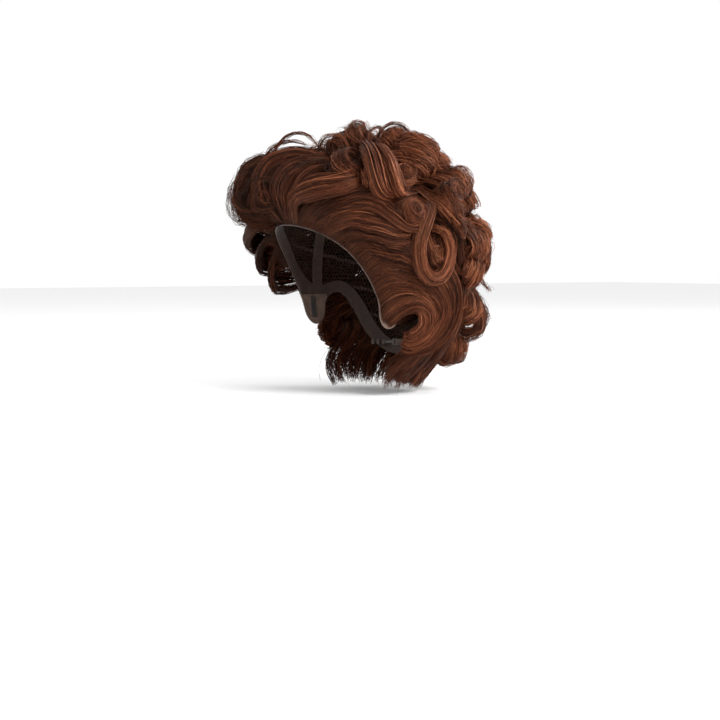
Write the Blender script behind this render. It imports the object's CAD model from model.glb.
import math

import bmesh
import bpy
import numpy as np
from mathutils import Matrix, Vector
from mathutils.bvhtree import BVHTree


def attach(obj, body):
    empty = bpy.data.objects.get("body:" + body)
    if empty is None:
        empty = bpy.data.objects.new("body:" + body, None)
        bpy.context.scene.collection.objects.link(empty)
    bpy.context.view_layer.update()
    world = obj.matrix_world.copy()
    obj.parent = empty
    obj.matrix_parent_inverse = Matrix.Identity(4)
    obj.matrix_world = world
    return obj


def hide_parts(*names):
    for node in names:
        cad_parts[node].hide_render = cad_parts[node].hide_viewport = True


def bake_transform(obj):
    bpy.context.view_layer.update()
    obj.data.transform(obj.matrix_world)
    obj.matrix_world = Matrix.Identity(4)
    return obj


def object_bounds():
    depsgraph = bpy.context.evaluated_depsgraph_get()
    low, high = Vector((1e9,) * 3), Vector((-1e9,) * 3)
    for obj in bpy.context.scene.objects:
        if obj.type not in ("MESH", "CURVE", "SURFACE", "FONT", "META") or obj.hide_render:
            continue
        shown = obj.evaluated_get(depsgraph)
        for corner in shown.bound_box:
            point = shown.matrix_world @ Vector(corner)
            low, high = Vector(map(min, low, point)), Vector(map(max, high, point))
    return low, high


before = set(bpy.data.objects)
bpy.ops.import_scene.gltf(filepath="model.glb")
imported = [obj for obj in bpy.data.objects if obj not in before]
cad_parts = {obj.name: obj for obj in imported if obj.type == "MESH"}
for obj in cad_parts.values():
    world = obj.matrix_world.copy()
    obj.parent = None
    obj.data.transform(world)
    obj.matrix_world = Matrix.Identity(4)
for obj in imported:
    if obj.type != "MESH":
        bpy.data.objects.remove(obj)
cad_low, cad_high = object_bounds()

# ---------------------------------------------------------------- sizes, in metres
MM = 0.001
CAP = "cap"

# The head inside the cap and the combed surface of the hair are eggs: centre, half width, half length, rise, drop
HEAD = dict(centre=(0, 0.008, 0.015), radii=(0.078, 0.099), rise=0.100, drop=0.130)
HAIR = dict(centre=(0, 0.022, 0.030), radii=(0.095, 0.110), rise=0.112, drop=0.140)

# The cap's edge seen from the side, as (y, z), from the hairline round the ear to the nape
CAP_EDGE = [(-0.190, 0.078), (-0.078, 0.064), (-0.047, 0.041), (-0.022, 0.006), (-0.012, -0.018), (-0.008, -0.034),
            (0.002, -0.042), (0.013, -0.035), (0.020, -0.013), (0.033, -0.007), (0.046, -0.020), (0.060, -0.056),
            (0.074, -0.074), (0.104, -0.078), (0.190, -0.080)]
# Points of the same edge that its spline passes through
EDGE_POINTS = [(-0.190, 0.078), (-0.078, 0.064), (-0.047, 0.041), (-0.022, 0.006), (-0.012, -0.018), (-0.008, -0.034),
               (0.002, -0.042), (0.013, -0.035), (0.020, -0.013), (0.033, -0.007), (0.046, -0.020), (0.060, -0.056),
               (0.074, -0.074), (0.104, -0.078), (0.190, -0.080)]
TAB_FRONT, TAB_REAR = -0.010, 0.0205

# Cloth of the cap as it was cut: width, length, and area where the cut isn't a rectangle
CUTS = {
    "crown_net_knit": (0.31, 0.34, 0.0624),
    "front_lace_knit": (0.013, 0.33, None),
    "front_band": (0.013, 0.327, None),
    "nape_band": (0.013, 0.283, None),
    "centre_tape": (0.012, 0.348, None),
    "side_tape_left": (0.012, 0.149, None),
    "side_tape_right": (0.012, 0.149, None),
    "care_label": (0.036, 0.0206, None),
}
STRAP_START, STRAP_END, STRAP_Z = 0.005, 0.0232, -0.062
STRAP_INSET, STRAP_THICK, STRAP_HEIGHT = 0.003, 0.001, 0.007
BEHIND_EAR = 0.036
NAPE_TOP = -0.0795

STRAND_SIDES = 3
COIL_STEPS = 12
SHADES = 64


# ---------------------------------------------------------------- eggs and the cap's edge
def unit(v):
    return v / np.maximum(np.linalg.norm(v, axis=-1, keepdims=True), 1e-12)


def direction(bearing, latitude):
    """Unit vector at a bearing from the face (90 is the wearer's left) and a latitude, in degrees."""
    turn, rise = np.radians(bearing), np.radians(latitude)
    return np.stack([np.cos(rise) * np.sin(turn), -np.cos(rise) * np.cos(turn), np.sin(rise)], axis=-1)


def egg_radii(egg, v):
    height = np.where(v[..., 2] > 0, egg["rise"], egg["drop"])
    return np.stack([np.full_like(height, egg["radii"][0]), np.full_like(height, egg["radii"][1]), height], axis=-1)


def on_egg(egg, v, lift=0.0):
    """Point of an egg in the direction v, lifted square off its surface."""
    radii = egg_radii(egg, v)
    outward = unit(v / radii)
    return np.array(egg["centre"]) + v * radii + outward * np.asarray(lift)[..., None]


def egg_direction(egg, points):
    """Direction, as on_egg takes it, of the egg's point under each point."""
    offset = points - np.array(egg["centre"])
    return unit(offset / egg_radii(egg, offset))


def egg_height(egg, points):
    """How far out a point is, as a share of the egg: 1 on its surface."""
    offset = points - np.array(egg["centre"])
    return np.linalg.norm(offset / egg_radii(egg, offset), axis=-1)


def kept_outside(egg, points, share):
    """Points inside an egg moved out to the given share of it."""
    centre = np.array(egg["centre"])
    height = egg_height(egg, points)
    grow = np.maximum(1.0, share / np.maximum(height, 1e-6))
    return centre + (points - centre) * grow[..., None]


def edge_height(y):
    ys, zs = np.array(CAP_EDGE).T
    return np.interp(y, ys, zs)


def under_hair(points):
    """True where the hair covers the head: above the cap's edge, and down behind the ear to the nape."""
    y, z = points[..., 1], points[..., 2]
    return (z > edge_height(y)) | ((y > BEHIND_EAR) & (z > NAPE_TOP))


# ---------------------------------------------------------------- strands as closed tubes
def tube_mesh(name, paths, radii, shades, material):
    """One mesh of closed tubes: paths is (strands, steps, 3), radii (strands, steps), shades one number each."""
    count, steps, _ = paths.shape
    along = unit(np.gradient(paths, axis=1))
    side = np.zeros_like(paths)
    first = np.cross(along[:, 0], np.tile(np.array([0.31, 0.22, 0.93]), (count, 1)))
    side[:, 0] = unit(first)
    for k in range(1, steps):
        carried = side[:, k - 1] - along[:, k] * np.sum(side[:, k - 1] * along[:, k], axis=-1, keepdims=True)
        side[:, k] = unit(carried)
    other = np.cross(along, side)
    turn = np.arange(STRAND_SIDES) * 2 * math.pi / STRAND_SIDES
    ring = (side[:, :, None] * np.cos(turn)[None, None, :, None] + other[:, :, None] * np.sin(turn)[None, None, :, None])
    points = paths[:, :, None] + ring * radii[:, :, None, None]
    points = points.reshape(-1, 3)

    base = (np.arange(count) * steps * STRAND_SIDES)[:, None, None]
    k = (np.arange(steps - 1) * STRAND_SIDES)[None, :, None]
    j = np.arange(STRAND_SIDES)[None, None, :]
    after = (j + 1) % STRAND_SIDES
    quads = np.stack([base + k + j, base + k + after, base + k + STRAND_SIDES + after, base + k + STRAND_SIDES + j],
                     axis=-1).reshape(-1, 4)
    root_cap = (np.arange(count) * steps * STRAND_SIDES)[:, None] + np.arange(STRAND_SIDES)[::-1]
    tip_cap = (np.arange(count) * steps * STRAND_SIDES + (steps - 1) * STRAND_SIDES)[:, None] + np.arange(STRAND_SIDES)

    loops = np.concatenate([quads.ravel(), root_cap.ravel(), tip_cap.ravel()])
    sizes = np.concatenate([np.full(len(quads), 4), np.full(2 * count, STRAND_SIDES)])
    starts = np.concatenate([[0], np.cumsum(sizes)[:-1]])
    mesh = bpy.data.meshes.new(name)
    mesh.vertices.add(len(points))
    mesh.vertices.foreach_set("co", points.astype(np.float32).ravel())
    mesh.loops.add(len(loops))
    mesh.loops.foreach_set("vertex_index", loops.astype(np.int32))
    mesh.polygons.add(len(sizes))
    mesh.polygons.foreach_set("loop_start", starts.astype(np.int32))
    mesh.polygons.foreach_set("use_smooth", np.ones(len(sizes), bool))
    mesh.update(calc_edges=True)

    strand = loops // (steps * STRAND_SIDES)
    step = (loops // STRAND_SIDES) % steps
    uv = np.stack([(step + 0.5) / steps, (shades[strand] * SHADES // 1 + 0.5) / SHADES], axis=-1)
    layer = mesh.uv_layers.new(name="OFBake")
    layer.data.foreach_set("uv", uv.astype(np.float32).ravel())
    mesh.materials.append(material)
    piece = bpy.data.objects.new(name, mesh)
    bpy.context.collection.objects.link(piece)
    return piece


# ---------------------------------------------------------------- roots on the head
def scattered_roots(rng, count):
    """Points spread evenly over the part of the head that the hair covers."""
    v = unit(rng.normal(size=(count * 3, 3)))
    stretch = egg_radii(HEAD, v)
    area = np.linalg.norm(1 / stretch * v, axis=-1) * np.prod(stretch, axis=-1)
    v = v[rng.random(len(v)) < area / area.max()]
    points = on_egg(HEAD, v, 0.003)
    return points[under_hair(points)]


def edge_roots(rng, count):
    """Points close to the hairline, on both sides, from the middle of the brow to the ear tab."""
    y = rng.uniform(-0.0785, 0.004, count)
    z = edge_height(y) + np.abs(rng.normal(0, 0.003, count)) + 0.001
    reach = np.maximum(0.0, 1 - ((y - HEAD["centre"][1]) / HEAD["radii"][1]) ** 2
                       - ((z - HEAD["centre"][2]) / np.where(z > HEAD["centre"][2], HEAD["rise"], HEAD["drop"])) ** 2)
    x = HEAD["radii"][0] * np.sqrt(reach) * rng.choice([-1, 1], count)
    points = np.stack([x, y, z], axis=-1)
    return kept_outside(HEAD, points, 1.03)


def hairline_points(bearings, above=0.001):
    """Points on the head where the hairline lies at the given bearings, a little above it."""
    latitudes = np.linspace(-40, 60, 201)
    grid = on_egg(HEAD, direction(*np.broadcast_arrays(bearings[:, None], latitudes[None, :])), 0.0022)
    higher = grid[..., 2] > edge_height(grid[..., 1]) + np.broadcast_to(above, bearings.shape)[:, None]
    first = np.argmax(higher, axis=1)
    return grid[np.arange(len(bearings)), first]


# ---------------------------------------------------------------- locks
def coil_frame(lock):
    """Where a coil lies on the combed hair: middle, axis, way out, and way across (towards the roots is -across)."""
    bearing, latitude, lift = lock["at"]
    v = direction(bearing, latitude)
    outward = unit(v / egg_radii(HAIR, v))
    turn = math.radians(bearing)
    level = np.array([math.cos(turn), math.sin(turn), 0.0])
    upward = np.cross(outward, level)
    tilt = math.radians(lock.get("tilt", 0))
    axis = level * math.cos(tilt) + upward * math.sin(tilt)
    lean = math.radians(lock.get("lean", 0))
    axis = axis * math.cos(lean) + outward * math.sin(lean)
    out = unit(outward - axis * np.dot(outward, axis))
    across = np.cross(axis, out) * lock.get("comb", 1)
    middle = on_egg(HAIR, v, lift * MM)
    return middle, axis, out, across


def clumped(rng, strands, clump):
    """Clump number of each strand, and the number of clumps."""
    clumps = max(1, strands // clump)
    return rng.integers(0, clumps, strands), clumps


def wavy(rng, paths, size, waves, stray=0.06):
    """Adds a slow random wave to each strand, growing from the root, and lets a few strands stray."""
    count, steps, _ = paths.shape
    t = np.linspace(0, 1, steps)[None, :, None]
    grow = np.minimum(1, 3 * t)
    for share, rate in ((1.0, waves), (0.45, 3 * waves)):
        phase = rng.uniform(0, 2 * math.pi, (count, 1, 3))
        speed = rng.uniform(0.6, 1.4, (count, 1, 3)) * rate * 2 * math.pi
        amount = rng.uniform(0.2, 1.0, (count, 1, 3)) * size * share
        paths = paths + np.sin(phase + speed * t) * amount * grow
    strays = (rng.random(count) < stray)[:, None, None]
    drift = rng.normal(0, 1, (count, 1, 3)) * 4.5 * MM * t ** 1.5
    return paths + drift * strays


def smoothed(paths, start, end, rounds):
    """Evens out the steps between start and end."""
    for _ in range(rounds):
        middle = (paths[:, start - 1:end - 1] + 2 * paths[:, start:end] + paths[:, start + 1:end + 1]) / 4
        paths[:, start:end] = middle
    return paths


def coil_paths(rng, lock, roots):
    """Strands that run over the head from their roots and then wind round the coil."""
    middle, axis, out, across = coil_frame(lock)
    radius, length = lock["radius"] * MM, lock["length"] * MM
    strands = lock["strands"]
    owner, clumps = clumped(rng, strands, lock.get("clump", 9))
    turns = lock.get("turns", 1.35)

    picked = roots[rng.integers(0, len(roots), clumps)]
    sideways = (picked - roots.mean(axis=0)) @ axis
    spread = np.maximum(np.abs(sideways).max(), 1e-4)
    order = sideways / spread + rng.normal(0, 0.2, clumps)
    place = np.clip(order, -1, 1)[owner] * length / 2 + rng.normal(0, lock.get("loose", 1.8) * MM, strands)
    depth = rng.random(clumps)[owner] ** 1.6
    away = -((picked - middle) @ across)
    far = np.clip((away - radius) / (2.2 * radius), 0, 1)[owner]

    bulge = 1 - lock.get("barrel", 0.12) * (2 * place / length) ** 2
    reach = radius * bulge * (1 - lock.get("fill", 0.42) * depth) + rng.normal(0, 1.0 * MM, strands)
    coil_steps = int(COIL_STEPS * turns) + 1
    lead_steps = lock.get("lead_steps", 8)
    start = np.radians(-62 + 34 * far)
    swing = turns * 2 * math.pi * (1 + rng.normal(0, 0.09, clumps)[owner] + rng.normal(0, 0.05, strands))
    t = np.linspace(0, 1, coil_steps)[None, :]
    angle = start[:, None] + swing[:, None] * t
    shrink = 1 - lock.get("shrink", 0.22) * t
    flare = 1 + lock.get("flare", 0.0) * np.maximum(0, t - 0.75) * 4 * rng.random(clumps)[owner][:, None]
    dents = 1 + lock.get("dents", 0.07) * np.sin(2 * angle + rng.uniform(0, 6)) \
        + 0.06 * np.sin(3 * angle + rng.uniform(0, 6, clumps)[owner][:, None])
    loose = rng.uniform(1 - lock.get("messy", 0.22), 1.06, clumps)[owner]
    r = (reach[:, None] * loose[:, None] * shrink * flare * dents)[..., None]
    lean = rng.normal(0, lock.get("messy", 0.22), (clumps, 3))[owner]
    axes = unit(axis + lean)
    outs = unit(out - axes * (axes @ out)[:, None])
    sides = np.cross(axes, outs) * lock.get("comb", 1)
    pitch = lock.get("pitch", 3.0) * MM * turns
    drift = (pitch * (t - 0.3) * (1 + rng.normal(0, 0.4, clumps)[owner][:, None]))[..., None]
    shift = rng.normal(0, 6 * lock.get("messy", 0.22) * MM, (clumps, 3))[owner]
    coil = ((middle + shift)[:, None] + axes[:, None] * (place[:, None, None] + drift)
            + outs[:, None] * np.cos(angle)[..., None] * r + sides[:, None] * np.sin(angle)[..., None] * r)

    root = picked[owner] + rng.normal(0, 2.2 * MM, (strands, 3))
    from_v, to_v = egg_direction(HEAD, root), egg_direction(HAIR, coil[:, 0])
    entry_lift = np.linalg.norm(coil[:, 0] - on_egg(HAIR, to_v), axis=-1) * np.sign(egg_height(HAIR, coil[:, 0]) - 1)
    s = np.linspace(0, 1, lead_steps, endpoint=False)[None, :]
    v = unit(from_v[:, None] * (1 - s[..., None]) + to_v[:, None] * s[..., None])
    skim = lock.get("skim", -0.001) - 0.004 * depth[:, None]
    surface = on_egg(HAIR, v, skim + (entry_lift[:, None] - skim) * s ** lock.get("approach", 2.5))
    scalp = on_egg(HEAD, v, 0.003)
    rise = np.minimum(1, s * lock.get("rise", 3.0))[..., None]
    rise = rise * rise * (3 - 2 * rise)
    paths = np.concatenate([scalp * (1 - rise) + surface * rise, coil], axis=1)
    paths = smoothed(paths, max(2, lead_steps - 4), lead_steps + 3, 6)
    return wavy(rng, paths, lock.get("wave", 1.1) * MM, 2.0), owner


def smooth_curve(points, steps):
    """Catmull-Rom line through the points, at even parameter steps."""
    points = np.array(points, float)
    padded = np.concatenate([[2 * points[0] - points[1]], points, [2 * points[-1] - points[-2]]])
    u = np.linspace(0, len(points) - 1 - 1e-9, steps)
    i = u.astype(int)
    f = (u - i)[:, None]
    a, b, c, d = padded[i], padded[i + 1], padded[i + 2], padded[i + 3]
    return 0.5 * ((2 * b) + (c - a) * f + (2 * a - 5 * b + 4 * c - d) * f ** 2 + (3 * b - a - 3 * c + d) * f ** 3)


def ribbon_paths(rng, lock):
    """Strands side by side along a line over the head, as a flat lock that narrows, twists and curls at its end."""
    steps = lock.get("steps", 20)
    stations = np.array(lock["line"], float)
    guide = smooth_curve(stations, steps)
    centre = on_egg(HAIR, direction(guide[:, 0], guide[:, 1]), guide[:, 2] * MM)
    if "points" in lock:
        centre = smooth_curve(np.array(lock["points"]) * MM, steps)
    outward = unit(egg_direction(HAIR, centre) / egg_radii(HAIR, egg_direction(HAIR, centre)))
    along = unit(np.gradient(centre, axis=0))
    side = unit(np.cross(along, outward))
    outward = np.cross(side, along)
    t = np.linspace(0, 1, steps)
    twist = np.radians(lock.get("twist", 0)) * t
    wide = side * np.cos(twist)[:, None] + outward * np.sin(twist)[:, None]
    thick = outward * np.cos(twist)[:, None] - side * np.sin(twist)[:, None]
    widths = np.interp(t, np.linspace(0, 1, len(lock["width"])), lock["width"]) * MM
    strands = lock["strands"]
    owner, clumps = clumped(rng, strands, lock.get("clump", 8))
    lateral = (rng.uniform(-0.5, 0.5, clumps)[owner] + rng.normal(0, 0.03, strands))[:, None, None]
    layer = (rng.uniform(-0.5, 0.5, clumps)[owner] + rng.normal(0, 0.06, strands))[:, None, None]
    bow = 1 - (2 * lateral) ** 2
    paths = centre[None] + wide[None] * lateral * widths[None, :, None]
    paths = paths + thick[None] * (layer * lock.get("thickness", 5) + bow * lock.get("bow", 3)) * MM
    if "hairline" in lock:
        first, last = lock["hairline"]
        across = lateral[:, 0, 0] + 0.5 + rng.normal(0, 0.05, strands)
        back = np.abs(rng.normal(0, lock.get("deep", 4) * MM, strands)) + 0.001
        root = hairline_points(first + (last - first) * across, back)
        fade = 1 - np.minimum(1, t / 0.5)
        fade = fade * fade * (3 - 2 * fade)
        paths = paths + (root - paths[:, 0])[:, None] * fade[None, :, None]
    cut = 1 - lock.get("ragged", 0.15) * rng.random(clumps)[owner] ** 2
    if lock.get("ragged", 0.15):
        keep = np.linspace(0, 1, steps)[None, :] * cut[:, None] * (steps - 1)
        low = np.minimum(keep.astype(int), steps - 2)
        part = (keep - low)[..., None]
        rows = np.arange(strands)[:, None]
        paths = paths[rows, low] * (1 - part) + paths[rows, low + 1] * part
    return wavy(rng, paths, lock.get("wave", 0.8) * MM, 1.5), owner


def strand_radii(rng, count, steps, thick):
    t = np.linspace(0, 1, steps)[None, :]
    taper = np.interp(t, [0, 0.08, 0.75, 1], [0.75, 1, 0.9, 0.35])
    return taper * (thick * MM * rng.uniform(0.5, 1.4, count))[:, None]


def strand_shades(rng, owner, shade):
    """A shade from 0 to 1 for each strand, near its clump's."""
    clump = rng.normal(shade, 0.13, owner.max() + 1)
    return np.clip(clump[owner] + rng.normal(0, 0.18, len(owner)), 0, 0.999)


def make_lock(name, lock, roots, material):
    rng = np.random.default_rng(lock["seed"])
    if "radius" in lock:
        paths, owner = coil_paths(rng, lock, roots)
    else:
        paths, owner = ribbon_paths(rng, lock)
    paths = kept_outside(HEAD, paths, 1.035)
    radii = strand_radii(rng, len(paths), paths.shape[1], lock.get("thick", 0.31))
    piece = tube_mesh(name, paths, radii, strand_shades(rng, owner, lock.get("shade", 0.5)), material)
    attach(piece, CAP)
    if lock.get("replaces"):
        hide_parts(*lock["replaces"])
    return piece


# ---------------------------------------------------------------- materials
def node_material(name):
    material = bpy.data.materials.new(name)
    material.use_nodes = True
    nodes = material.node_tree.nodes
    return material, nodes, material.node_tree.links, nodes["Principled BSDF"]


def ramp(nodes, stops):
    node = nodes.new("ShaderNodeValToRGB")
    while len(node.color_ramp.elements) < len(stops):
        node.color_ramp.elements.new(0.5)
    for element, (place, colour) in zip(node.color_ramp.elements, stops):
        element.position = place
        element.color = (*colour, 1)
    return node


def fibre_material(name, stops, roughness, specular, tint):
    """Fibre coloured by its shade class, and a little darker at its root than at its tip."""
    material, nodes, links, shader = node_material(name)
    where = nodes.new("ShaderNodeUVMap")
    where.uv_map = "OFBake"
    split = nodes.new("ShaderNodeSeparateXYZ")
    links.new(where.outputs["UV"], split.inputs[0])
    shade = ramp(nodes, stops)
    links.new(split.outputs["Y"], shade.inputs["Fac"])
    along = ramp(nodes, [(0.0, (0.45, 0.45, 0.45)), (0.3, (0.9, 0.9, 0.9)), (0.7, (1, 1, 1)), (1.0, (1.15, 1.1, 1.0))])
    links.new(split.outputs["X"], along.inputs["Fac"])
    mix = nodes.new("ShaderNodeMix")
    mix.data_type = "RGBA"
    mix.blend_type = "MULTIPLY"
    mix.inputs["Factor"].default_value = 1
    links.new(shade.outputs["Color"], mix.inputs["A"])
    links.new(along.outputs["Color"], mix.inputs["B"])
    links.new(mix.outputs["Result"], shader.inputs["Base Color"])
    shader.inputs["Roughness"].default_value = roughness
    shader.inputs["Specular IOR Level"].default_value = specular
    shader.inputs["Specular Tint"].default_value = (*tint, 1)
    return material


def hair_material():
    stops = [(0.0, (0.010, 0.003, 0.002)), (0.3, (0.040, 0.010, 0.005)), (0.6, (0.100, 0.027, 0.012)),
             (0.85, (0.200, 0.060, 0.026)), (1.0, (0.33, 0.115, 0.055))]
    return fibre_material("hair_fibre", stops, 0.5, 0.28, (1.0, 0.66, 0.48))


def thread_material(name, dark, light):
    return fibre_material(name, [(0.0, dark), (1.0, light)], 0.75, 0.2, (1, 1, 1))


def woven_material(name, dark, light, pitch, roughness, sheen):
    """Close cloth with a thread every pitch metres, uneven in colour, and slightly worn."""
    material, nodes, links, shader = node_material(name)
    where = nodes.new("ShaderNodeTexCoord")
    threads = nodes.new("ShaderNodeTexVoronoi")
    threads.inputs["Scale"].default_value = 1 / pitch
    links.new(where.outputs["Object"], threads.inputs["Vector"])
    blotch = nodes.new("ShaderNodeTexNoise")
    blotch.inputs["Scale"].default_value = 90
    blotch.inputs["Detail"].default_value = 4
    links.new(where.outputs["Object"], blotch.inputs["Vector"])
    uneven = nodes.new("ShaderNodeMath")
    uneven.operation = "MULTIPLY"
    links.new(threads.outputs["Distance"], uneven.inputs[0])
    links.new(blotch.outputs["Fac"], uneven.inputs[1])
    colour = ramp(nodes, [(0.08, light), (0.42, dark)])
    links.new(uneven.outputs[0], colour.inputs["Fac"])
    links.new(colour.outputs["Color"], shader.inputs["Base Color"])
    rough = nodes.new("ShaderNodeMapRange")
    rough.inputs["To Min"].default_value = roughness - 0.1
    rough.inputs["To Max"].default_value = roughness + 0.15
    links.new(blotch.outputs["Fac"], rough.inputs["Value"])
    links.new(rough.outputs["Result"], shader.inputs["Roughness"])
    bump = nodes.new("ShaderNodeBump")
    bump.invert = True
    bump.inputs["Strength"].default_value = 0.5
    bump.inputs["Distance"].default_value = 0.0002
    links.new(threads.outputs["Distance"], bump.inputs["Height"])
    links.new(bump.outputs["Normal"], shader.inputs["Normal"])
    shader.inputs["Sheen Weight"].default_value = sheen
    return material


def moulded_material(name, dark, light, scale, roughness, metallic=0.0):
    """Moulded plastic or drawn steel: fine grain in the gloss, faint marks in the colour."""
    material, nodes, links, shader = node_material(name)
    where = nodes.new("ShaderNodeTexCoord")
    grain = nodes.new("ShaderNodeTexNoise")
    grain.inputs["Scale"].default_value = scale
    grain.inputs["Detail"].default_value = 6
    links.new(where.outputs["Object"], grain.inputs["Vector"])
    colour = ramp(nodes, [(0.35, dark), (0.7, light)])
    links.new(grain.outputs["Fac"], colour.inputs["Fac"])
    links.new(colour.outputs["Color"], shader.inputs["Base Color"])
    rough = nodes.new("ShaderNodeMapRange")
    rough.inputs["To Min"].default_value = roughness - 0.1
    rough.inputs["To Max"].default_value = roughness + 0.12
    links.new(grain.outputs["Fac"], rough.inputs["Value"])
    links.new(rough.outputs["Result"], shader.inputs["Roughness"])
    bump = nodes.new("ShaderNodeBump")
    bump.inputs["Strength"].default_value = 0.15
    bump.inputs["Distance"].default_value = 0.0001
    links.new(grain.outputs["Fac"], bump.inputs["Height"])
    links.new(bump.outputs["Normal"], shader.inputs["Normal"])
    shader.inputs["Metallic"].default_value = metallic
    return material


# ---------------------------------------------------------------- combed hair under the curls
def combed_paths(rng, starts, share, reach, steps, wave):
    """Strands combed back from the face over the head, then down the back, from their starts."""
    paths = [starts]
    stride = (reach / steps)[:, None]
    pull = np.array([0.0, 1.0, -0.45])
    for _ in range(steps - 1):
        point = paths[-1]
        v = egg_direction(HEAD, point)
        outward = unit(v / egg_radii(HEAD, v))
        flow = unit(pull - outward * (outward @ pull)[:, None] + 1e-6)
        moved = point + flow * stride
        on_head = on_egg(HEAD, egg_direction(HEAD, moved), 0.0)
        on_hair = on_egg(HAIR, egg_direction(HEAD, moved), 0.0)
        lifted = on_head + (on_hair - on_head) * share[:, None]
        hanging = moved[:, 2] < NAPE_TOP + 0.006
        fall = point + np.array([0, 0, -1.0]) * stride + outward * np.array([1, 1, 0]) * stride * 0.22
        paths.append(np.where(hanging[:, None], fall, lifted))
        share = np.minimum(share + 0.07, 0.93)
    return wavy(rng, np.stack(paths, axis=1), wave, 1.6, stray=0.02)


def combed_section(name, node, roots, strands, low_share, material, shade, thick, reach=0.075, seed=5):
    rng = np.random.default_rng(seed)
    starts = roots[rng.integers(0, len(roots), strands)] + rng.normal(0, 1.5 * MM, (strands, 3))
    share = rng.uniform(low_share, min(1, low_share + 0.5), strands)
    near_edge = np.abs(starts[:, 2] - edge_height(starts[:, 1])) < 0.008
    share = np.where(near_edge, 0.12, share)
    on_head = on_egg(HEAD, egg_direction(HEAD, starts))
    on_hair = on_egg(HAIR, egg_direction(HEAD, starts))
    starts = on_head + (on_hair - on_head) * share[:, None]
    paths = combed_paths(rng, starts, share, reach * rng.uniform(0.7, 1.2, strands), 11, 1.0 * MM)
    owner, _ = clumped(rng, strands, 6)
    radii = strand_radii(rng, strands, paths.shape[1], thick)
    piece = tube_mesh(name, paths, radii, strand_shades(rng, owner, shade), material)
    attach(piece, CAP)
    if node:
        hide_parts(node)


# ---------------------------------------------------------------- the hairstyle
# Coils. at: bearing, latitude and lift (mm) of the middle; tilt and lean: the axis from level and from flat on
# the head; radius and length in mm; roots: bearing and latitude of the middle of the patch it is combed from
COILS = {
    "front_roll": dict(at=(-28, 31, 21), radius=39, length=84, turns=1.15, strands=1920, shade=0.22, seed=1,
                       comb=-1, roots=(-26, 20), hairline=(-66, 7), rise=2.2, fill=0.75, shrink=0.24, clump=20,
                       barrel=0.35, dents=0.12, loose=3, wave=2, approach=1.4, flare=0.3),
    "forelock_curl": dict(at=(46, 49, 12), tilt=20, lean=62, radius=21, length=18, strands=370, roots=(30, 44),
                          seed=2, fill=0.36, shade=0.4),
    "crown_curl_front_left": dict(at=(66, 42, 12), tilt=6, radius=15, length=28, strands=370, roots=(60, 64), seed=3,
                                  shade=0.58, fill=0.6),
    "crown_curl_mid_left": dict(at=(84, 42, 12), lean=70, radius=15, length=12, strands=210, roots=(84, 56), seed=4,
                                fill=0.4, turns=1.8, shade=0.6),
    "crown_roll_left": dict(at=(104, 56, 16), tilt=35, lean=48, radius=27, length=34, strands=610, roots=(80, 74),
                            seed=5, shade=0.62, fill=0.6, turns=1.5),
    "crown_roll_right": dict(at=(-132, 62, 15), radius=22, length=44, lean=20, strands=380, roots=(-100, 74), seed=6),
    "crown_curl_top": dict(at=(24, 76, 11), tilt=10, lean=20, radius=18, length=46, strands=380, roots=(10, 60),
                           seed=7, shade=0.5),
    "crown_curl_front_right": dict(at=(-76, 56, 10), tilt=40, lean=20, radius=17, length=42, strands=300,
                                   roots=(-60, 44), seed=8),
    "temple_curl_left": dict(at=(84, 22, 11), lean=66, tilt=20, radius=16, length=14, strands=290, roots=(62, 26),
                             seed=9, shade=0.5, turns=1.4, fill=0.35, comb=-1),
    "temple_curl_right": dict(at=(-62, 6, 9), tilt=80, radius=18, length=44, strands=340, roots=(-40, 12), seed=10,
                              comb=-1),
    "side_curl_left": dict(at=(110, 24, 12), tilt=20, lean=50, radius=18, length=20, strands=290, roots=(104, 40),
                           seed=11, shade=0.6, turns=1.6),
    "side_curl_right": dict(at=(-104, 26, 11), tilt=10, lean=40, radius=18, length=34, strands=290,
                            roots=(-100, 44), seed=12),
    "hanging_curl_left": dict(at=(96, 2, 9), tilt=8, lean=62, radius=13, length=12, strands=210, roots=(96, 22),
                              seed=13, shade=0.62, fill=0.4, turns=1.1),
    "hanging_curl_right": dict(at=(-100, -8, 10), tilt=70, lean=30, radius=19, length=40, strands=290,
                               roots=(-92, 12), seed=14),
    "back_curl_upper_left": dict(at=(132, 38, 14), tilt=15, lean=35, radius=21, length=30, strands=370,
                                 roots=(126, 56), seed=15, shade=0.62, turns=1.6),
    "back_curl_upper_right": dict(at=(-146, 36, 13), tilt=-15, lean=30, radius=19, length=36, strands=300,
                                  roots=(-140, 54), seed=16),
    "back_curl_mid_left": dict(at=(132, 6, 12), tilt=-10, lean=35, radius=19, length=30, strands=320,
                               roots=(132, 24), seed=17, shade=0.62),
    "back_curl_mid_right": dict(at=(-142, 8, 11), tilt=10, lean=35, radius=18, length=34, strands=290,
                                roots=(-140, 24), seed=18),
    "back_curl_centre_upper": dict(at=(180, 22, 13), lean=30, radius=19, length=40, strands=320, roots=(180, 40),
                                   seed=19),
    "back_curl_centre_low": dict(at=(180, -12, 12), lean=20, radius=19, length=46, strands=340, roots=(180, 6),
                                 seed=20),
    "ring_curl_left": dict(at=(144, -25, 17), radius=22, length=14, strands=180, roots=(140, -8), seed=21,
                           shade=0.5, fill=0.22, turns=1.3, pitch=6),
    "ring_curl_right": dict(at=(-140, -19, 13), radius=20, length=14, strands=160, roots=(-140, -4), seed=22,
                            fill=0.3, turns=1.3, pitch=6),
    "nape_curl_left": dict(at=(144, -41, 12), radius=15, length=14, strands=140, roots=(140, -28), seed=23,
                           fill=0.25, turns=1.4, pitch=5, shade=0.6),
}

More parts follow.
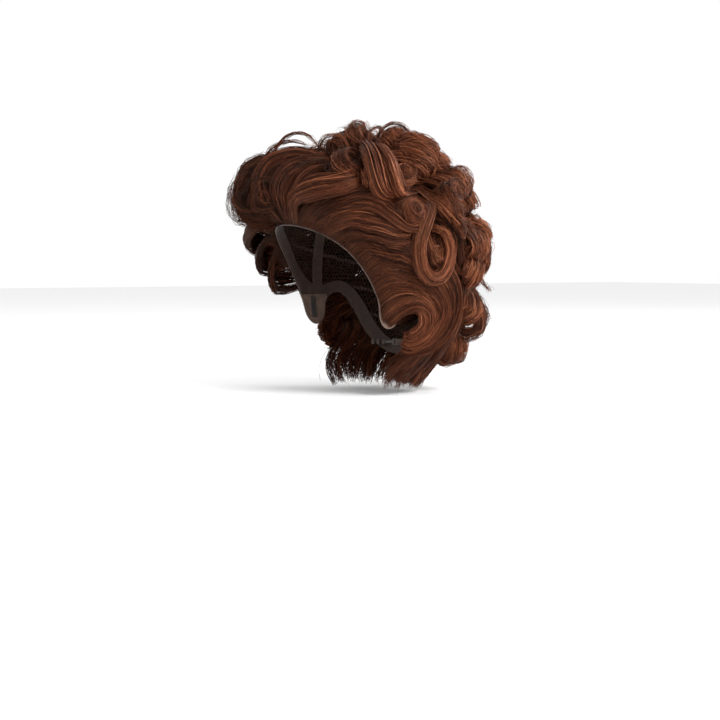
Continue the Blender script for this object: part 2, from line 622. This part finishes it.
# Flat locks. line: bearing, latitude and lift (mm) along it; width: in mm from root to tip;
# hairline: the bearings between which it is rooted; both_sides: the wearer's right side has one too
RIBBONS = {
    "swoop_lock": dict(line=[(17, 14, -2), (13, 24, 6), (17, 31, 11), (28, 35, 14), (40, 36, 15), (50, 39, 12),
                             (57, 44, 4)], width=[8, 24, 30, 24, 10], strands=450, shade=0.56, seed=31, bow=5,
                       thickness=5, hairline=(4, 18)),
    "side_sweep_top": dict(line=[(22, 18, -2), (34, 28, 3), (48, 33, 5), (62, 34, 7), (74, 30, 9)],
                           width=[16, 28, 28, 22, 16], strands=380, shade=0.36, seed=30, hairline=(12, 30),
                           both_sides=True),
    "side_sweep_upper": dict(line=[(28, 14, -3), (38, 24, 3), (52, 28, 5), (64, 27, 9), (74, 20, 12), (80, 15, 14),
                                   (88, 15, 14), (92, 23, 12), (86, 29, 10)], width=[20, 26, 26, 20, 14, 12, 10, 8],
                             strands=420, shade=0.5, seed=32, hairline=(22, 40)),
    "side_sweep_middle": dict(line=[(40, 8, -3), (52, 15, 3), (64, 15, 6), (76, 11, 9), (86, 13, 9)],
                              width=[24, 30, 26, 20], strands=450, shade=0.5, seed=33, hairline=(32, 53),
                              both_sides=True),
    "side_sweep_lower": dict(line=[(52, -4, -3), (64, 3, 3), (76, 6, 6), (84, 2, 10), (90, -5, 12)],
                             width=[24, 30, 26, 16], strands=420, shade=0.45, seed=34, hairline=(46, 63),
                             both_sides=True),
    "ear_sweep_outer": dict(line=[(60, -10, -3), (70, -4, 3), (82, -2, 6), (95, -3, 9), (107, -8, 12),
                                  (114, -18, 13), (112, -29, 13), (105, -36, 11), (96, -40, 8), (89, -40, 4)],
                            width=[22, 28, 24, 22, 22, 24, 22, 14, 8], strands=580, shade=0.5, seed=35,
                            hairline=(56, 71), steps=25, both_sides=True),
    "ear_sweep_middle": dict(line=[(67, -20, -3), (76, -12, 4), (88, -10, 7), (98, -12, 10), (106, -19, 12),
                                   (106, -27, 12), (100, -34, 11), (93, -37, 8), (88, -37, 4)],
                             width=[20, 26, 24, 22, 22, 24, 22, 14, 8], strands=580, shade=0.54, seed=36,
                             hairline=(64, 80), steps=25, both_sides=True),
    "ear_sweep_inner": dict(line=[(74, -26, -2), (80, -20, 4), (88, -18, 8), (95, -21, 10), (97, -27, 11),
                                  (94, -32, 10), (89, -35, 7), (85, -35, 3)],
                            width=[18, 24, 24, 24, 24, 22, 14], strands=510, shade=0.58, seed=38,
                            hairline=(73, 95), steps=26, both_sides=True),
    "temple_lock_right_upper": dict(line=[(-34, 12, -2), (-38, 14, 16), (-44, 12, 27), (-54, 8, 26), (-66, 6, 16),
                                          (-78, 8, 8)], width=[22, 28, 30, 26, 18], strands=380, shade=0.24,
                                    seed=40, hairline=(-26, -46), thickness=8),
    "temple_lock_right_middle": dict(line=[(-46, 2, -2), (-48, 2, 13), (-54, 0, 21), (-64, -2, 21), (-76, 0, 12),
                                           (-88, 4, 8)], width=[22, 28, 28, 24, 18], strands=380, shade=0.24,
                                     seed=41, hairline=(-40, -58), thickness=8),
    "temple_lock_right_lower": dict(line=[(-56, -8, -2), (-58, -8, 11), (-64, -10, 17), (-74, -10, 16),
                                          (-88, -8, 9)], width=[20, 24, 24, 18], strands=340, shade=0.24,
                                    seed=42, hairline=(-52, -68), thickness=7),
    "behind_ear_fall": dict(line=[(126, 14, 2), (126, -4, 5), (127, -20, 7), (128, -36, 7), (130, -50, 5)],
                            width=[22, 28, 30, 28, 22], strands=500, shade=0.42, seed=49, thickness=8, ragged=0.3,
                            both_sides=True),
    "back_fall": dict(line=[(150, 14, 2), (150, -4, 4), (150, -20, 5), (150, -36, 5), (150, -50, 4)],
                      width=[24, 32, 34, 32, 26], strands=500, shade=0.4, seed=51, thickness=8, ragged=0.3,
                      both_sides=True),
    "back_fall_centre": dict(line=[(180, 14, 2), (180, -4, 4), (180, -20, 5), (180, -36, 5), (180, -50, 4)],
                             width=[40, 52, 54, 52, 46], strands=500, shade=0.4, seed=52, thickness=8, ragged=0.3),
    "brow_lock_inner": dict(line=[(10, 15, -2), (9, 26, 5), (9, 36, 10), (14, 45, 12), (24, 52, 6)],
                            width=[12, 22, 28, 28, 22], strands=420, shade=0.3, seed=48, hairline=(2, 14),
                            thickness=12, bow=4),
    "brow_lock_left": dict(line=[(6, 14, -2), (3, 24, 11), (1, 33, 19), (2, 42, 20), (8, 51, 12), (16, 58, 2)],
                           width=[12, 22, 28, 28, 22], strands=450, shade=0.3, seed=43, hairline=(-4, 8),
                           thickness=9, bow=6),
    "brow_lock_middle": dict(line=[(-2, 14, -2), (-7, 22, 20), (-10, 32, 34), (-10, 43, 34), (-4, 53, 20),
                                   (4, 60, 4)], width=[12, 24, 30, 30, 24], strands=510, shade=0.24, seed=44,
                             hairline=(-16, 0), thickness=10, bow=6),
    "barrel_lock_front": dict(line=[(56, 66, 6), (60, 56, 20), (63, 47, 25), (65, 39, 22), (68, 32, 14), (73, 31, 4)],
                              width=[10, 15, 17, 17, 14, 10], strands=340, shade=0.6, seed=45, thickness=10, bow=7),
    "barrel_lock_back": dict(line=[(66, 64, 6), (69, 55, 19), (72, 46, 24), (74, 39, 21), (77, 32, 13), (81, 32, 4)],
                             width=[10, 14, 16, 16, 13, 9], strands=320, shade=0.66, seed=46, thickness=9, bow=7),
    "hanging_loop_left": dict(line=[(100, 27, 8), (92, 18, 13), (86, 8, 16), (86, -3, 17), (92, -8, 18), (100, -6, 17),
                                    (105, 3, 15), (103, 12, 13), (97, 15, 10)],
                              width=[14, 15, 14, 13, 13, 12, 10, 8], strands=380, shade=0.66, seed=47, thickness=8,
                              bow=3, steps=26),
}

# Loose locks of a few strands that stand clear of the rest
FLYAWAYS = [
    [(96, 82, 8), (108, 80, 26), (130, 75, 35), (142, 66, 22), (140, 60, 12)],
    [(-6, 80, 6), (-6, 82, 22), (8, 84, 32), (40, 86, 27), (34, 84, 10)],
    [(124, 72, 10), (134, 75, 22), (150, 72, 19), (142, 69, 10)],
    [(-26, 36, 26), (-23, 46, 42), (-20, 55, 37), (-16, 62, 20)],
    [(-22, 44, 36), (-14, 55, 42), (-2, 60, 34), (8, 60, 16)],
    [(-6, 62, 8), (10, 64, 24), (28, 66, 22), (36, 66, 8)],
    [(144, 16, 8), (147, 8, 24), (147, -3, 23), (143, -8, 8)],
    [(142, -4, 8), (145, -10, 20), (147, -13, 30)],
    [(142, -28, 12), (147, -36, 25), (145, -43, 14)],
    [(60, 64, 10), (64, 72, 24), (84, 76, 26), (92, 72, 10)],
]


def filler_curls():
    """Curls over the crown, back and sides, between the named ones."""
    rng = np.random.default_rng(77)
    rows = [(72, 90, 290, 5), (52, 112, 280, 8), (32, 112, 268, 8), (14, 116, 262, 8), (-4, 122, 250, 7),
            (-22, 134, 232, 6), (-38, 138, 222, 6)]
    for latitude, first, last, count in rows:
        for bearing in np.linspace(first, last, count):
            bearing = bearing + rng.normal(0, 4)
            yield dict(at=(bearing, latitude + rng.normal(0, 3), rng.uniform(9, 16)), tilt=rng.uniform(-40, 40),
                       lean=rng.uniform(25, 80), radius=rng.uniform(14, 20), length=rng.uniform(9, 18),
                       strands=155, roots=(bearing, min(85, latitude + 16)), seed=int(rng.integers(1000, 9999)),
                       turns=rng.uniform(1.2, 1.8), comb=int(rng.choice([1, 1, -1])), pitch=rng.uniform(2, 9),
                       shade=rng.uniform(0.46, 0.74), fill=rng.uniform(0.08, 0.24), flare=0.2, messy=0.2,
                       clump=13)


def nape_fans():
    """Straight locks that spread down from behind the ears and round the nape, flicked out at their tips."""
    rng = np.random.default_rng(78)
    for i, end in enumerate(np.linspace(88, 272, 16)):
        start = 180 + (end - 180) * 0.78
        middle = (start + end) / 2
        yield dict(line=[(start, -30, -9), (start, -38, -4), (middle, -47, 1), (end, -57, 3),
                         (end, -65, rng.uniform(4, 11))], width=[20, 24, 27, 22], strands=280, steps=14,
                   shade=rng.uniform(0.2, 0.4), seed=300 + i, thickness=10, ragged=0.5, clump=7, wave=1.8)


def build_hair():
    fibre = hair_material()
    rng = np.random.default_rng(11)
    roots = np.concatenate([scattered_roots(rng, 9000), edge_roots(rng, 2500)])
    coils = [(name + "_hair", coil, [name]) for name, coil in COILS.items()]
    for i, curl in enumerate(filler_curls()):
        coils.append((f"filler_curl_{i + 1}_hair", curl, []))
    seats = np.array([on_egg(HEAD, direction(*coil["roots"])) for _, coil, _ in coils])
    for (name, coil, replaced), seat in zip(coils, seats):
        gap = np.linalg.norm(roots - seat, axis=-1)
        patch = roots[gap < max(0.02, 0.6 * coil["length"] * MM)]
        if "hairline" in coil:
            first, last = coil["hairline"]
            patch = hairline_points(rng.uniform(first, last, 600), 0.001 + np.abs(rng.normal(0, 0.012, 600)))
        elif len(patch) < 5:
            patch = roots[np.argsort(gap)[:30]]
        make_lock(name, dict(coil, replaces=replaced), patch, fibre)
    for name, ribbon in RIBBONS.items():
        replaced = [name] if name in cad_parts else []
        make_lock(name + "_hair", dict(ribbon, replaces=replaced), roots, fibre)
        if ribbon.get("both_sides"):
            other = dict(ribbon, seed=ribbon["seed"] + 60)
            other["line"] = [(-bearing, latitude, lift) for bearing, latitude, lift in ribbon["line"]]
            if "hairline" in ribbon:
                other["hairline"] = tuple(-bearing for bearing in ribbon["hairline"])
            make_lock(name + "_right_hair", other, roots, fibre)
    for i, fan in enumerate(nape_fans()):
        replaced = {0: ["nape_hair_left"], 15: ["nape_hair_right"]}.get(i, [])
        make_lock(f"nape_fan_{i + 1}_hair", dict(fan, replaces=replaced), roots, fibre)
    for i, line in enumerate(FLYAWAYS):
        make_lock(f"flyaway_{i + 1}_hair", dict(line=line, width=[4, 6, 3], thickness=3, strands=26, seed=400 + i,
                                                shade=0.5, thick=0.22, wave=1.6, steps=20), roots, fibre)

    bearings = np.degrees(np.arctan2(roots[:, 0], -(roots[:, 1] - HEAD["centre"][1])))
    high = roots[:, 2] > 0.075
    left = roots[:, 0] > 0
    sections = {
        "base_hair_front": (np.abs(bearings) < 40) & ~high,
        "base_hair_side_left": (bearings > 20) & (bearings < 118) & ~high,
        "base_hair_side_right": (bearings < -20) & (bearings > -118) & ~high,
        "base_hair_back_left": (bearings > 108) & ~high,
        "base_hair_back_right": (bearings < -108) & ~high,
        "base_hair_crown_left": high & left,
        "base_hair_crown_right": high & ~left,
    }
    for i, (node, inside) in enumerate(sections.items()):
        inside = inside & (roots[:, 2] > -0.05)
        strands = 1400 if "back" in node else 1000
        combed_section(node + "_combed", node, roots[inside], strands, 0.35, fibre, 0.3, 0.45, reach=0.06, seed=50 + i)


# ---------------------------------------------------------------- the cap
def solid_tree(node):
    """Search tree of a CAD node's surface, in the row frame."""
    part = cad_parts[node]
    points = [part.matrix_world @ vertex.co for vertex in part.data.vertices]
    return BVHTree.FromPolygons(points, [tuple(face.vertices) for face in part.data.polygons])


def over_node(tree, points):
    """True for each point that lies under or over the CAD node, seen from the middle of the head."""
    centre = Vector(HEAD["centre"])
    return np.array([tree.ray_cast(centre, (Vector(p) - centre).normalized())[0] is not None for p in points])


def ray_reach(tree, points):
    """Points moved along their line from the middle of the head to the CAD node's inner face."""
    centre = Vector(HEAD["centre"])
    return np.array([tree.ray_cast(centre, (Vector(p) - centre).normalized())[0] for p in points])


def net_mesh(name, node, divisions, thread, gap, material):
    """Six-sided net knitted over the head where a CAD node has it: a tube along each side of each cell."""
    ball = bmesh.new()
    bmesh.ops.create_icosphere(ball, subdivisions=divisions, radius=1)
    centres = {face.index: face.calc_center_median() for face in ball.faces}
    pairs = np.array([[centres[face.index] for face in edge.link_faces] for edge in ball.edges])
    ball.free()
    ends = on_egg(HEAD, unit(pairs.reshape(-1, 3)), gap)
    inside = over_node(solid_tree(node), ends).reshape(-1, 2).all(axis=1)
    paths = ends.reshape(-1, 2, 3)[inside]
    shades = np.random.default_rng(90).uniform(0, 0.999, len(paths))
    net = tube_mesh(name, paths, np.full((len(paths), 2), thread / 2), shades, material)
    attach(net, CAP)
    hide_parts(node)
    return net


def natural_spline(points, count):
    """Even run of points on the natural cubic spline through the given ones."""
    points = np.array(points, float)
    step = np.linalg.norm(np.diff(points, axis=0), axis=1)
    place = np.concatenate([[0], np.cumsum(step)])
    n = len(points)
    system, right = np.eye(n), np.zeros((n, 2))
    for i in range(1, n - 1):
        system[i, i - 1:i + 2] = step[i - 1], 2 * (step[i - 1] + step[i]), step[i]
        right[i] = 6 * ((points[i + 1] - points[i]) / step[i] - (points[i] - points[i - 1]) / step[i - 1])
    bend = np.linalg.solve(system, right)
    at = np.linspace(0, place[-1], count)
    k = np.clip(np.searchsorted(place, at) - 1, 0, n - 2)
    h, a, b = step[k][:, None], (place[k + 1] - at)[:, None], (at - place[k])[:, None]
    return ((bend[k] * a ** 3 + bend[k + 1] * b ** 3) / (6 * h) + (points[k] / h - bend[k] * h / 6) * a
            + (points[k + 1] / h - bend[k + 1] * h / 6) * b)


def edge_line(inset, gap, count=900):
    """Line round the cap's edge over the head, inset from it, on the wearer's left, from brow to nape."""
    line = natural_spline(EDGE_POINTS, count)
    along = unit(np.gradient(line, axis=0))
    line = line + np.stack([-along[:, 1], along[:, 0]], axis=1) * inset
    y, z = line[:, 0] - HEAD["centre"][1], line[:, 1] - HEAD["centre"][2]
    height = np.where(z > 0, HEAD["rise"], HEAD["drop"]) + gap
    share = 1 - (y / (HEAD["radii"][1] + gap)) ** 2 - (z / height) ** 2
    line, share = line[share > 0], share[share > 0]
    x = (HEAD["radii"][0] + gap) * np.sqrt(share)
    return np.stack([x, line[:, 0], line[:, 1]], axis=1)


def evenly(line, pitch):
    """The line again, with a point every pitch."""
    place = np.concatenate([[0], np.cumsum(np.linalg.norm(np.diff(line, axis=0), axis=1))])
    at = np.arange(0, place[-1], pitch)
    return np.stack([np.interp(at, place, line[:, i]) for i in range(3)], axis=1)


def hem(name, line, thick, material):
    """A rolled hem of three twisted threads along a line."""
    line = evenly(line, 1.5 * MM)
    along = unit(np.gradient(line, axis=0))
    outward = unit(line - np.array(HEAD["centre"]))
    side = unit(np.cross(along, outward))
    turn = np.arange(len(line)) * 1.5 / 4.0 * 2 * math.pi / 3
    paths = []
    for start in np.arange(3) * 2 * math.pi / 3:
        twist = np.cos(turn + start)[:, None] * side + np.sin(turn + start)[:, None] * np.cross(side, along)
        paths.append(line + twist * thick * 0.35)
    paths = np.stack(paths)
    piece = tube_mesh(name, paths, np.full(paths.shape[:2], thick * 0.5), np.array([0.3, 0.6, 0.9]), material)
    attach(piece, CAP)
    return piece


def stitches(name, lines, pitch, material, body=CAP):
    """Straight stitches along lines, each dipping into the cloth at both ends."""
    rng = np.random.default_rng(91)
    paths = []
    for line in lines:
        points = evenly(line, pitch / 4)
        for i in range(0, len(points) - 4, 4):
            run = points[i:i + 4]
            inward = unit(np.array(HEAD["centre"]) - run)
            rise = np.array([-0.15, 0.2, 0.2, -0.15])[:, None] * MM
            paths.append(run + inward * rise)
    paths = np.array(paths)
    piece = tube_mesh(name, paths, np.full(paths.shape[:2], 0.28 * MM), rng.uniform(0.2, 0.99, len(paths)), material)
    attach(piece, body)
    return piece


def tape_lines():
    """The lines of stitching along both edges of the tapes inside the cap."""
    turn = np.radians(np.linspace(-30, 215, 700))
    lines = []
    for offset, node in ((-4.9, "centre_tape"), (4.9, "centre_tape")):
        x = offset * MM
        scale = math.sqrt(1 - (x / HEAD["radii"][0]) ** 2)
        height = np.where(np.sin(turn) > 0, HEAD["rise"], HEAD["drop"])
        lines.append((node, np.stack([np.full(len(turn), x), HEAD["centre"][1] - HEAD["radii"][1] * scale * np.cos(turn),
                                      HEAD["centre"][2] + height * scale * np.sin(turn)], axis=1)))
    for offset in (-4.9, 4.9):
        y = offset * MM
        scale = math.sqrt(1 - (y / HEAD["radii"][1]) ** 2)
        for side, node in ((1, "side_tape_left"), (-1, "side_tape_right")):
            rise = np.radians(np.linspace(-35, 84, 400))
            height = np.where(np.sin(rise) > 0, HEAD["rise"], HEAD["drop"])
            lines.append((node, np.stack([side * HEAD["radii"][0] * scale * np.cos(rise),
                                          np.full(len(rise), HEAD["centre"][1] + y),
                                          HEAD["centre"][2] + height * scale * np.sin(rise)], axis=1)))
    kept = []
    for node, line in lines:
        line = line[over_node(solid_tree(node), line)]
        kept.append(line)
    return kept


def mirrored_line(line):
    return line * np.array([-1, 1, 1])


def elastic_strap(side, name, material):
    """Woven elastic from its sewn end at the nape to the hook, ribbed along its length."""
    count, ribs = 46, 7
    x = np.linspace(STRAP_START, STRAP_END, count)
    share = 1 - ((STRAP_Z - HEAD["centre"][2]) / (HEAD["drop"] - STRAP_INSET)) ** 2 - (x / (HEAD["radii"][0] - STRAP_INSET)) ** 2
    y = HEAD["centre"][1] + (HEAD["radii"][1] - STRAP_INSET) * np.sqrt(share)
    line = np.stack([x, y, np.full(count, STRAP_Z)], axis=1)
    along = unit(np.gradient(line, axis=0))
    inward = np.stack([along[:, 1], -along[:, 0], np.zeros(count)], axis=1)
    level = np.linspace(-1, 1, ribs * 4 + 1)
    crest = 0.5 + 0.14 * np.cos(level * ribs * math.pi)
    ring = [(h, 1 - (0.5 - c)) for h, c in zip(level, crest)] + [(h, 0.5 - c) for h, c in zip(level[::-1], crest)]
    ring = np.array(ring)
    points = (line[:, None] + inward[:, None] * ring[None, :, 1:] * STRAP_THICK
              + np.array([0, 0, 1.0]) * ring[None, :, :1] * STRAP_HEIGHT / 2)
    points = points * np.array([side, 1, 1])
    n = len(ring)
    faces = [tuple(range(n)), tuple((count - 1) * n + j for j in reversed(range(n)))]
    for k in range(count - 1):
        for j in range(n):
            faces.append((k * n + j, (k + 1) * n + j, (k + 1) * n + (j + 1) % n, k * n + (j + 1) % n))
    if side < 0:
        faces = [face[::-1] for face in faces]
    mesh = bpy.data.meshes.new(name)
    mesh.from_pydata(points.reshape(-1, 3).tolist(), [], faces)
    mesh.update()
    clean = bmesh.new()
    clean.from_mesh(mesh)
    bmesh.ops.recalc_face_normals(clean, faces=clean.faces)
    clean.to_mesh(mesh)
    clean.free()
    mesh.polygons.foreach_set("use_smooth", np.ones(len(mesh.polygons), bool))
    mesh.materials.append(material)
    strap = bpy.data.objects.new(name, mesh)
    bpy.context.collection.objects.link(strap)
    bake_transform(strap)
    return strap


def cut_cloth(piece):
    """Declares a piece of the cap's cloth with the size it was cut to."""
    width, length, area = CUTS[piece.name]


def dress(node, material, bevel=None):
    """Gives a carried-over CAD node its material, and softens its edges."""
    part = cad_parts[node]
    part.data.materials.clear()
    part.data.materials.append(material)
    if bevel:
        edge = part.modifiers.new("soft_edges", "BEVEL")
        edge.width = bevel
        edge.segments = 2
        edge.limit_method = "ANGLE"


def build_cap():
    net_thread = thread_material("net_thread", (0.030, 0.017, 0.012), (0.075, 0.045, 0.032))
    lace_thread = thread_material("lace_thread", (0.050, 0.024, 0.016), (0.120, 0.062, 0.042))
    sewing_thread = thread_material("sewing_thread", (0.10, 0.06, 0.045), (0.22, 0.15, 0.11))
    ribbon = woven_material("satin_ribbon", (0.022, 0.011, 0.008), (0.060, 0.032, 0.023), 0.0006, 0.5, 0.15)
    tab_cloth = woven_material("tab_felt", (0.075, 0.042, 0.030), (0.170, 0.105, 0.076), 0.0006, 0.8, 0.2)
    weft_cloth = woven_material("weft_seam", (0.020, 0.008, 0.006), (0.090, 0.036, 0.024), 0.0012, 0.7, 0.1)
    elastic = woven_material("woven_elastic", (0.030, 0.018, 0.013), (0.095, 0.060, 0.045), 0.0006, 0.7, 0.2)
    plastic = moulded_material("moulded_plastic", (0.030, 0.018, 0.013), (0.060, 0.038, 0.028), 900, 0.32)
    steel = moulded_material("plain_steel", (0.42, 0.42, 0.43), (0.60, 0.60, 0.61), 1500, 0.34, metallic=1.0)
    satin = woven_material("label_satin", (0.50, 0.48, 0.44), (0.82, 0.80, 0.76), 0.0005, 0.4, 0.3)

    net = net_mesh("crown_net_knit", "crown_net", 6, 1.06 * MM, 1.5 * MM, net_thread)
    lace = net_mesh("front_lace_knit", "front_lace", 7, 0.56 * MM, 1.35 * MM, lace_thread)

    edge = edge_line(0.6 * MM, 1.2 * MM)
    front = edge[(edge[:, 1] < TAB_FRONT) & (edge[:, 2] > -0.012)]
    rear = edge[edge[:, 1] > TAB_REAR]
    for side, turned in (("left", lambda line: line), ("right", mirrored_line)):
        hem(f"brow_hem_{side}", turned(front), 0.9 * MM, lace_thread)
        hem(f"nape_hem_{side}", turned(rear), 1.2 * MM, net_thread)

    inner = edge_line(2.4 * MM, -0.05 * MM)
    seams = [inner[(inner[:, 1] < TAB_FRONT) & (inner[:, 2] > -0.008)], inner[inner[:, 1] > TAB_REAR + 0.002]]
    seams = seams + [mirrored_line(line) for line in seams]
    stitches("band_stitching", seams, 3.2 * MM, sewing_thread)
    stitches("tape_stitching", tape_lines(), 3.2 * MM, sewing_thread)

    cut_cloth(net)
    cut_cloth(lace)
    for node in ("front_band", "nape_band", "centre_tape", "side_tape_left", "side_tape_right"):
        dress(node, ribbon)
        cut_cloth(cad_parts[node])
    for node in [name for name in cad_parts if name.startswith("weft_row")]:
        dress(node, weft_cloth)
    dress("care_label", satin)
    cut_cloth(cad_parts["care_label"])
    for side, sign in (("left", 1), ("right", -1)):
        dress(f"ear_tab_{side}", tab_cloth)
        dress(f"ear_stay_{side}", steel)
        dress(f"strap_hook_{side}", plastic, bevel=0.15 * MM)
        dress(f"hook_loops_{side}", elastic)
        strap = elastic_strap(sign, f"elastic_strap_{side}", elastic)
        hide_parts(f"strap_{side}")


# ---------------------------------------------------------------- stage
def stage():
    floor_z = cad_low.z - 0.002
    bpy.ops.mesh.primitive_plane_add(size=12, location=(0, 0, floor_z))
    floor = bpy.context.object
    floor.name = "studio_floor"
    material, nodes, links, shader = node_material("pale_floor")
    shader.inputs["Base Color"].default_value = (0.86, 0.86, 0.86, 1)
    shader.inputs["Roughness"].default_value = 0.9
    floor.data.materials.append(material)

    world = bpy.data.worlds.new("studio")
    world.use_nodes = True
    world.node_tree.nodes["Background"].inputs["Color"].default_value = (1, 1, 1, 1)
    world.node_tree.nodes["Background"].inputs["Strength"].default_value = 1.0
    bpy.context.scene.world = world

    bpy.context.scene.view_settings.view_transform = "Standard"
    for name, place, size, power in (("key", (1.7, 0.5, 1.2), 0.9, 48), ("fill", (-0.6, -1.8, 0.7), 1.4, 6),
                                     ("back", (0.2, 1.9, 1.2), 1.0, 20)):
        light = bpy.data.lights.new(name, "AREA")
        light.size = size
        light.energy = power
        holder = bpy.data.objects.new(name, light)
        bpy.context.collection.objects.link(holder)
        holder.location = place
        holder.rotation_euler = (Vector((0, 0, 0.05)) - Vector(place)).to_track_quat("-Z", "Y").to_euler()


def photo_camera():
    azimuth, elevation, distance = math.radians(57), math.radians(4), 1.5
    aim = Vector((0.006, 0.010, -0.078))
    away = Vector((math.sin(azimuth) * math.cos(elevation), -math.cos(azimuth) * math.cos(elevation), math.sin(elevation)))
    camera = bpy.data.objects.new("photo_camera", bpy.data.cameras.new("photo_camera"))
    camera.data.sensor_width = 36
    camera.data.lens = 36 * distance / 0.770
    camera.location = aim + away * distance
    camera.rotation_euler = (-away).to_track_quat("-Z", "Y").to_euler()
    bpy.context.collection.objects.link(camera)
    bpy.context.scene.camera = camera


build_hair()
build_cap()
stage()
photo_camera()
